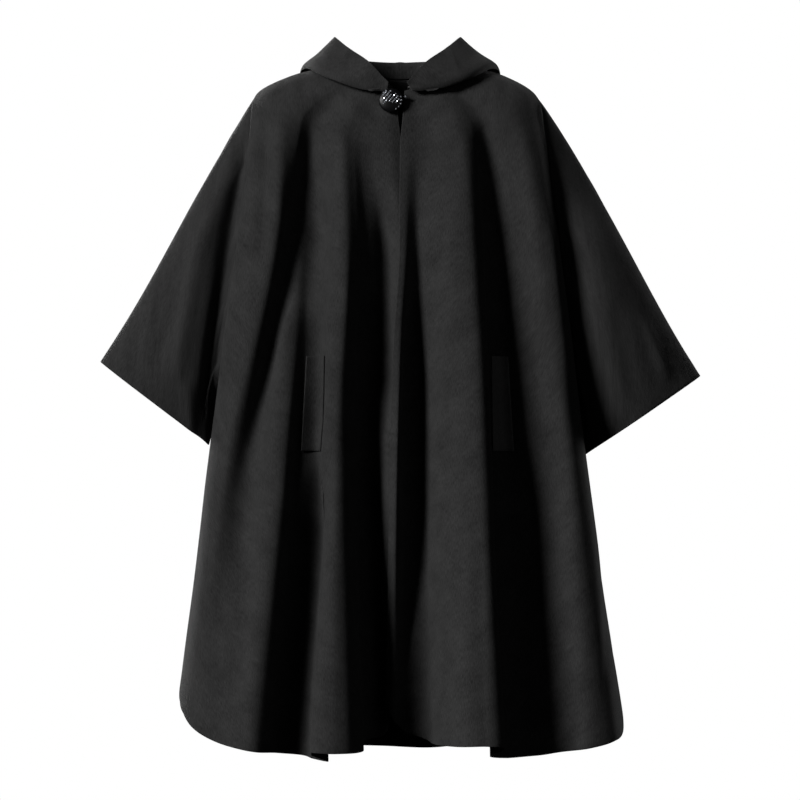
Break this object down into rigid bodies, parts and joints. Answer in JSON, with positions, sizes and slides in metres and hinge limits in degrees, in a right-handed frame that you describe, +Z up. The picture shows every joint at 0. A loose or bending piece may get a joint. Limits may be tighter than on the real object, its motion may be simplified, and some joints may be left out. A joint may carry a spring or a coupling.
{
  "type": "hooded cape coat",
  "caption": "Hooded cape coat of black brushed wool, worn over other clothes: wide dropped sleeves, open front held by a round clasp at the neck, welt pockets, rounded side hem.",
  "frame": {"origin": "middle of the neck opening, level with the tops of the shoulders, where a wearer holds the coat up", "axes": "+Z up, -Y the way the front faces, +X to the right of someone who faces the front"},
  "size_m": [0.849, 0.376, 1.0162],
  "materials": {
    "wool": "black brushed wool, matt, with a soft nap",
    "button": "glossy black",
    "stones": "clear cut stones with silvered backs"
  },
  "bodies": {
    "root": {"front_right": "wool", "front_left": "wool", "back": "wool", "sleeve_right": "wool", "sleeve_left": "wool", "hood_right": "wool", "hood_left": "wool", "pocket_welt_right": "wool", "pocket_welt_left": "wool", "clasp_button": "button", "clasp_link": "stones"}
  },
  "joints": []
}
